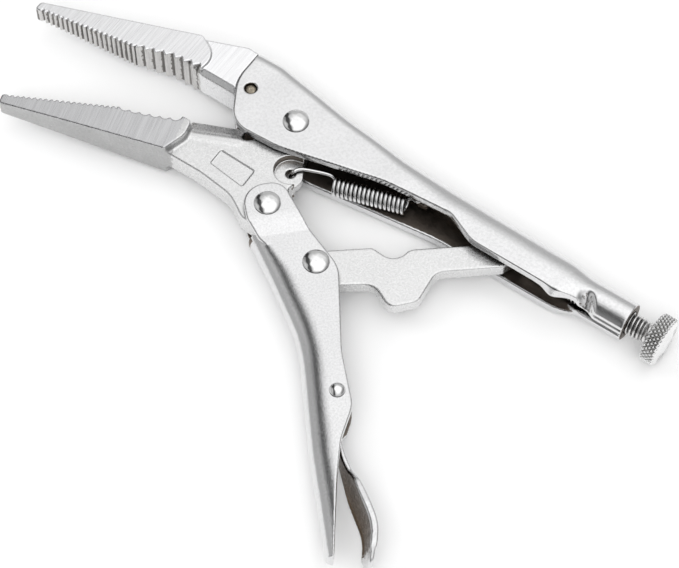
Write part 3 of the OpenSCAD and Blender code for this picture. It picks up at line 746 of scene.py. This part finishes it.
def lever_field(x, y, z):
    """The bent front that the pin holds, and the dished tail with its thicker rim."""
    rim = 0.3 * smooth((np.abs(z) - 3.7) / 0.7) * smooth((x - 72) / 6)
    sheet = (np.abs(y - lever_middle(x, z)) - LEVER_SHEET / 2 - rim) * 0.9
    plan = [(56, WAIST_HALF, 0), (71.5, WAIST_HALF, 1.5), (75, PADDLE_HALF - 0.6, 3), (81, PADDLE_HALF, 8),
            (91.5, PADDLE_HALF, 3), (95.3, 2.6, 2.4), (95.3, -2.6, 2.4), (91.5, -PADDLE_HALF, 3),
            (81, -PADDLE_HALF, 8), (67.5, 0.6 - PADDLE_HALF, 3), (64, -WAIST_HALF, 1.5), (56, -WAIST_HALF, 0)]
    tail = both(sheet, outline(x, z, plan), 0.5)
    cheek = [(43.5, 5.8, 1.2), (44.5, 8.8, 2), (52, 11.4, 3.4), (59, 9.6, 3), (62, 6.8, 0.5), (52, 6.2, 3)]
    front = outline(x, y, cheek)
    walls = both(front, np.abs(z) - LEVER_HALF, 0.35)
    room = np.maximum(np.maximum(x - 57, y - 9.6), np.abs(z) - (LEVER_HALF - LEVER_SHEET))
    walls = both(walls, -room, 0.2)
    walls = both(walls, hole(x, y, LEVER_PIN_AT, LEVER_PIN_R + 0.05), 0.1)
    return either(walls, tail, 0.4)


def lever_marks(x, y, z):
    """1 on the tail's hollow side, brown and darkened as painted shade, up to an uneven line before its tip.
    """
    end = 91 + np.sin(5 * z) * np.sin(11 * x)
    return (x > 60) & (x < end) & (y < lever_middle(x, z) - 0.35) & (z < PADDLE_HALF - 0.9)


solid("release_lever_plate", lever_field, (42.6, 3.8, -5.6), (97.2, 13.2, 5.6), 0.2, "release_lever",
      ["release_lever"], [plated_lower, lever_brown_and_shade], turn=HANDLE_TURN, at=HANDLE_PIVOT,
      mark=lever_marks, keep=0.4)


# ---- Rivets and pins ----

def rivet(node, body, r, head_r, head_h):
    """A shank with a slightly uneven domed head at each end. Its length comes from the CAD node."""
    at = middle(node) - RIVET
    low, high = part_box(node)
    half = (high - low)[2] / MM / 2 - head_h
    rim = 0.35
    profile = [(r, half), (head_r - 0.15, half), (head_r, half + 0.12), (head_r, half + rim - 0.1)]
    for t in np.linspace(0.97, 0, 16):
        profile.append((max(head_r * t, 1e-4), half + rim + (head_h - rim) * (1 - t ** 2.7)))
    below = [(q, -h) for q, h in reversed(profile)]
    points, faces = turned(below + profile, 72)
    lump = 0.035 * np.sin(points[:, 0] * 1.9 + 1) * np.cos(points[:, 1] * 2.3)
    points[:, 2] -= np.sign(points[:, 2]) * np.abs(lump) * (np.abs(points[:, 2]) > half + rim)
    piece(node + "_head", points, faces, body, [node], [polished], at=at)


rivet("main_rivet", "upper_handle", RIVET_R, HEAD_R, HEAD_H)
rivet("handle_rivet", "lower_handle", RIVET_R, HEAD_R, HEAD_H)
rivet("link_rivet", "lower_handle", RIVET_R, HEAD_R, HEAD_H)
rivet("lever_pin", "lower_handle", LEVER_PIN_R, 1.8, 1.1)

PIN_HALF = HANDLE_HALF - 0.55
points, faces = turned([(JAW_PIN_R - 0.25, -PIN_HALF), (JAW_PIN_R, -PIN_HALF + 0.2),
                        (JAW_PIN_R, PIN_HALF - 0.2), (JAW_PIN_R - 0.25, PIN_HALF), (0.6, PIN_HALF + 0.1)], 40)
piece("jaw_pin_body", points, faces, "upper_handle", ["jaw_pin"], [pin_end], at=(*JAW_PIN_AT, 0))


# ---- Spring: close coils with a hook at each end, and the tab it hangs on ----

SPRING_START = np.array((16.3, -7.35, 0))
SPRING_END = np.array((34.0, -2.0, 0))
ANCHOR_AT = np.array((36.9, 1.9, 0))
ANCHOR_HALF, ANCHOR_HOLE_R = 0.9, 0.7
COILS, SPRING_R, WIRE_R = 17, 2.0, 0.45


def curve_through(points, step=0.25):
    """A smooth curve through points, as a list of closely spaced points."""
    p = np.array([2 * points[0] - points[1], *points, 2 * points[-1] - points[-2]])
    out = []
    for a, b, c, d in zip(p[:-3], p[1:-2], p[2:-1], p[3:]):
        n = max(2, int(np.linalg.norm(c - b) / step))
        for t in np.arange(n) / n:
            out.append(0.5 * (2 * b + (c - a) * t + (2 * a - 5 * b + 4 * c - d) * t ** 2
                              + (3 * b - a - 3 * c + d) * t ** 3))
    return np.array(out + [p[-2]])


def tube(path, r, sides):
    """A round wire along a path, with its ends rounded off."""
    tangent = np.gradient(path, axis=0)
    tangent /= np.linalg.norm(tangent, axis=1)[:, None]
    normal = np.zeros_like(path)
    n = np.cross(tangent[0], (0.3, 0.5, 0.8))
    for i, t in enumerate(tangent):
        n = unit(n - t * (n @ t))
        normal[i] = n
    other = np.cross(tangent, normal)
    angle = np.arange(sides) / sides * 2 * math.pi
    width = np.full(len(path), r)
    width[0] = width[-1] = r * 0.55
    rings = path[:, None] + width[:, None, None] * (normal[:, None] * np.cos(angle)[None, :, None]
                                                    + other[:, None] * np.sin(angle)[None, :, None])
    return closed(rings.reshape(-1, 3), len(path), sides)


along = unit(SPRING_END - SPRING_START)
across = np.array((-along[1], along[0], 0))
spring_length = float(np.linalg.norm(SPRING_END - SPRING_START))


def in_spring(s, up, z):
    return SPRING_START + along * s + across * up + np.array((0, 0, z))


turn_steps = 28
helix = []
for i in range(COILS * turn_steps + 1):
    angle = 2 * math.pi * i / turn_steps
    helix.append(in_spring(spring_length * i / (COILS * turn_steps), SPRING_R * math.cos(angle),
                           SPRING_R * math.sin(angle)))
hook = np.array((*turned_point(SPRING_HOLE, JAW_OPEN), 0))
front = [hook + (1.0, -0.5, -1.9), hook + (0, 0, -1.3), hook + (0.1, 0.1, 0.5), hook + (0.5, 0.7, 1.7),
         np.array((7.6, -8.8, 1.8)), np.array((10.7, -7.2, 1.6)), np.array((14.1, -5.8, 1.2))]
rear = [in_spring(spring_length + 0.9, SPRING_R + 0.1, 0.5), ANCHOR_AT + (-0.6, -2.2, 1.6),
        ANCHOR_AT + (0, -0.5, 1.7), ANCHOR_AT + (0, 0, 0.8), ANCHOR_AT + (0, 0, -1.2)]
points, faces = tube(curve_through(front + helix[:: max(1, turn_steps // 14)] + rear, 0.3), WIRE_R, 12)
spring = piece("tension_spring_wire", points, faces, None, ["tension_spring"], [wire])
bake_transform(spring)


def anchor_field(x, y, z):
    side = [(35.1, -0.1, 1.2), (38.7, -0.1, 1.2), (38.7, 5.2, 0), (35.1, 5.2, 0)]
    tab = both(outline(x, y, side), np.abs(z) - ANCHOR_HALF, 0.3)
    return both(tab, hole(x, y, ANCHOR_AT, ANCHOR_HOLE_R), 0.15)


# Painted shade: the tab sits in the channel and is all in the dark channel material.
solid("spring_anchor_tab", anchor_field, (34.4, -1.0, -1.4), (39.4, 6, 1.4), 0.15, "upper_handle",
      ["spring_anchor"], [inside], keep=0.4)


# ---- Screw, its tip and its knob ----

TIP_GAP = 2.8                  # from the link's end to the screw's tip
TIP_START = LINK_END[0] + TIP_GAP
TIP_R, STEM_R, TIP_L = 2.1, 1.0, 3.0
points, faces = turned([(1.4, 0), (1.7, 0.12), (TIP_R, 0.5), (TIP_R, TIP_L), (STEM_R, TIP_L + 0.02),
                        (STEM_R, 7)], 40)
piece("screw_tip_point", along_x(points, TIP_START), faces, "screw_tip", ["screw_tip"],
      [cut_thread])

ROD_START = TIP_START + TIP_L + 0.2
KNOB_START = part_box("adjusting_knob")[0].x / MM - RIVET[0]
THREAD_END = KNOB_START - 1.3 - ROD_START
SCREW_R, PITCH, THREAD_DEPTH = 2.8, 1.0, 0.55
COLLAR_R = 2.6


def thread(angle, height, radius):
    """Radius of a rounded 60 degree thread that fades out at both ends."""
    phase = (height / PITCH - angle / (2 * math.pi)) % 1.0
    ridge = np.clip(np.abs(phase - 0.5) * 3.2 - 0.15, 0, 1)
    fade = smooth(height / 1.0) * smooth((THREAD_END - height) / 1.0)
    return radius - THREAD_DEPTH * (1 - smooth(ridge) * fade) * (height < THREAD_END)


rows = np.arange(0, THREAD_END, PITCH / 12)
profile = [(SCREW_R - 0.3, 0), *[(SCREW_R, h) for h in rows], (SCREW_R - THREAD_DEPTH, THREAD_END - 0.01),
           (COLLAR_R, THREAD_END + 0.1), (COLLAR_R, KNOB_START - ROD_START)]
points, faces = turned(profile, 48, thread)


# Where the thread's grooves get painted shade.
def shaded_thread_grooves(x, y, z):
    return (np.hypot(y - SCREW_Y, z) < SCREW_R - 0.46) & (x < KNOB_START - 1.4)


piece("adjusting_screw_rod", along_x(points, ROD_START), faces, "adjusting_screw",
      ["adjusting_screw"], [cut_thread, thread_root_shade], mark=shaded_thread_grooves)

KNOB_R, KNOB_L = 6.2, 4.0
KNURLS, KNURL_LEAD, KNURL_DEPTH = 32, 0.72, 0.55


def knurl(angle, height, radius):
    """Crossed helical grooves that leave diamonds, on the rim only."""
    a = (angle * KNURLS / (2 * math.pi) + height * KNURL_LEAD) % 1.0
    b = (angle * KNURLS / (2 * math.pi) - height * KNURL_LEAD) % 1.0
    peak = np.minimum(1 - np.abs(a - 0.5) * 2, 1 - np.abs(b - 0.5) * 2)
    on_rim = smooth((radius - KNOB_R + 0.55) / 0.4)
    return radius - on_rim * KNURL_DEPTH * (1 - np.clip(peak * 1.5, 0, 1))


rim = [(KNOB_R, h) for h in np.linspace(0.55, KNOB_L - 0.5, 30)]
profile = [(1.0, 0), (KNOB_R - 0.9, 0), (KNOB_R - 0.5, 0.18), *rim, (KNOB_R - 0.5, KNOB_L - 0.1),
           (KNOB_R - 0.8, KNOB_L), (3.4, KNOB_L + 0.05), (2.9, KNOB_L + 0.3), (2.2, KNOB_L + 0.4),
           (0.01, KNOB_L + 0.4)]
points, faces = turned(profile, KNURLS * 10, knurl)


# Where the knurl's grooves get painted shade.
def shaded_knob_grooves(x, y, z):
    depth = KNOB_R - np.hypot(y - SCREW_Y, z)
    return (depth > 0.3) & (depth < 0.7) & (x > KNOB_START + 0.6) & (x < KNOB_START + KNOB_L - 0.55)


piece("adjusting_knob_body", along_x(points, KNOB_START), faces, "adjusting_screw",
      ["adjusting_knob"], [knurled, knurl_shade], mark=shaded_knob_grooves)


# ---- Floor, light and camera ----

def floor():
    bpy.ops.mesh.primitive_plane_add(size=6, location=(0, 0, 0))
    plane = bpy.context.active_object
    plane.name = "floor"
    material = bpy.data.materials.new("floor_pale")
    shader = nodes_of(material)[1]
    shader.inputs["Base Color"].default_value = (0.96, 0.96, 0.96, 1)
    shader.inputs["Roughness"].default_value = 0.9
    plane.data.materials.append(material)


def softbox(name, at, size, power):
    """An area light that points at the middle of the floor and leaves no reflection."""
    light = bpy.data.lights.new(name, "AREA")
    light.shape = "RECTANGLE"
    light.size, light.size_y = size
    light.energy = power
    obj = bpy.data.objects.new(name, light)
    obj.location = at
    obj.rotation_euler = (-Vector(at)).to_track_quat("-Z", "Y").to_euler()
    obj.visible_glossy = False
    bpy.context.scene.collection.objects.link(obj)


def ramp(tree, value, stops):
    """A colour ramp in greys from stops of (position, brightness)."""
    node = tree.nodes.new("ShaderNodeValToRGB")
    node.color_ramp.interpolation = "EASE"
    for i, (at, grey) in enumerate(stops):
        stop = node.color_ramp.elements[i] if i < 2 else node.color_ramp.elements.new(at)
        stop.position = at
        stop.color = (grey, grey, grey, 1)
    tree.links.new(value, node.inputs["Fac"])
    return node.outputs["Color"]


SKY_BY_HEIGHT = [(0, 0.48), (0.15, 0.40), (0.4, 0.42), (0.65, 0.62), (0.8, 0.84), (0.95, 1.0)]
SKY_ACROSS = [(0, 0.9), (0.1, 0.85), (0.16, 0.45), (0.21, 0.06), (0.27, 0.08), (0.34, 0.66), (0.42, 0.92),
              (0.54, 0.96), (0.76, 1.0), (0.93, 0.5)]
SKY_SIDE = (0.4115, 0.2839, 0)
SKY_STRENGTH = 1.38


def sky():
    """A studio tent: dim low down, bright overhead, dark to the left and brightest a little to the right."""
    world = bpy.data.worlds.new("tent")
    bpy.context.scene.world = world
    world.use_nodes = True
    tree = world.node_tree
    where = tree.nodes.new("ShaderNodeTexCoord")
    split = tree.nodes.new("ShaderNodeSeparateXYZ")
    tree.links.new(where.outputs["Generated"], split.inputs["Vector"])
    height = ramp(tree, split.outputs["Z"], SKY_BY_HEIGHT)
    side = tree.nodes.new("ShaderNodeVectorMath")
    side.operation = "DOT_PRODUCT"
    side.inputs[1].default_value = SKY_SIDE
    tree.links.new(where.outputs["Generated"], side.inputs[0])
    shift = add(tree, "ShaderNodeMath", operation="ADD")
    shift.inputs[1].default_value = 0.5
    tree.links.new(side.outputs["Value"], shift.inputs[0])
    across = ramp(tree, shift.outputs["Value"], SKY_ACROSS)
    product = add(tree, "ShaderNodeMix", data_type="RGBA", blend_type="MULTIPLY")
    product.inputs["Factor"].default_value = 1.0
    tree.links.new(height, product.inputs["A"])
    tree.links.new(across, product.inputs["B"])
    tree.links.new(product.outputs["Result"], tree.nodes["Background"].inputs["Color"])
    tree.nodes["Background"].inputs["Strength"].default_value = SKY_STRENGTH


AZIMUTH, ELEVATION, DISTANCE = math.radians(34.6), math.radians(60), 0.5714
AIM_FROM_RIVET = (33.10, -29.22, 0)
LENS = 127.25


def camera():
    """Looks down from the tool's open side, from its front right."""
    back = Vector((math.sin(AZIMUTH) * math.cos(ELEVATION), -math.cos(AZIMUTH) * math.cos(ELEVATION),
                   math.sin(ELEVATION)))
    look = Vector((RIVET + AIM_FROM_RIVET) * MM)
    data = bpy.data.cameras.new("camera")
    data.lens = LENS
    data.clip_start = 0.01
    obj = bpy.data.objects.new("camera", data)
    obj.location = look + back * DISTANCE
    obj.rotation_euler = back.to_track_quat("Z", "Y").to_euler()
    bpy.context.scene.collection.objects.link(obj)
    bpy.context.scene.camera = obj


floor()
sky()
softbox("front_box", (0.3, -0.7, 1.0), (1.0, 0.8), 6.4)
softbox("left_box", (-0.9, -0.2, 1.0), (0.8, 0.9), 3.7)
camera()
bpy.context.scene.view_settings.view_transform = "Standard"
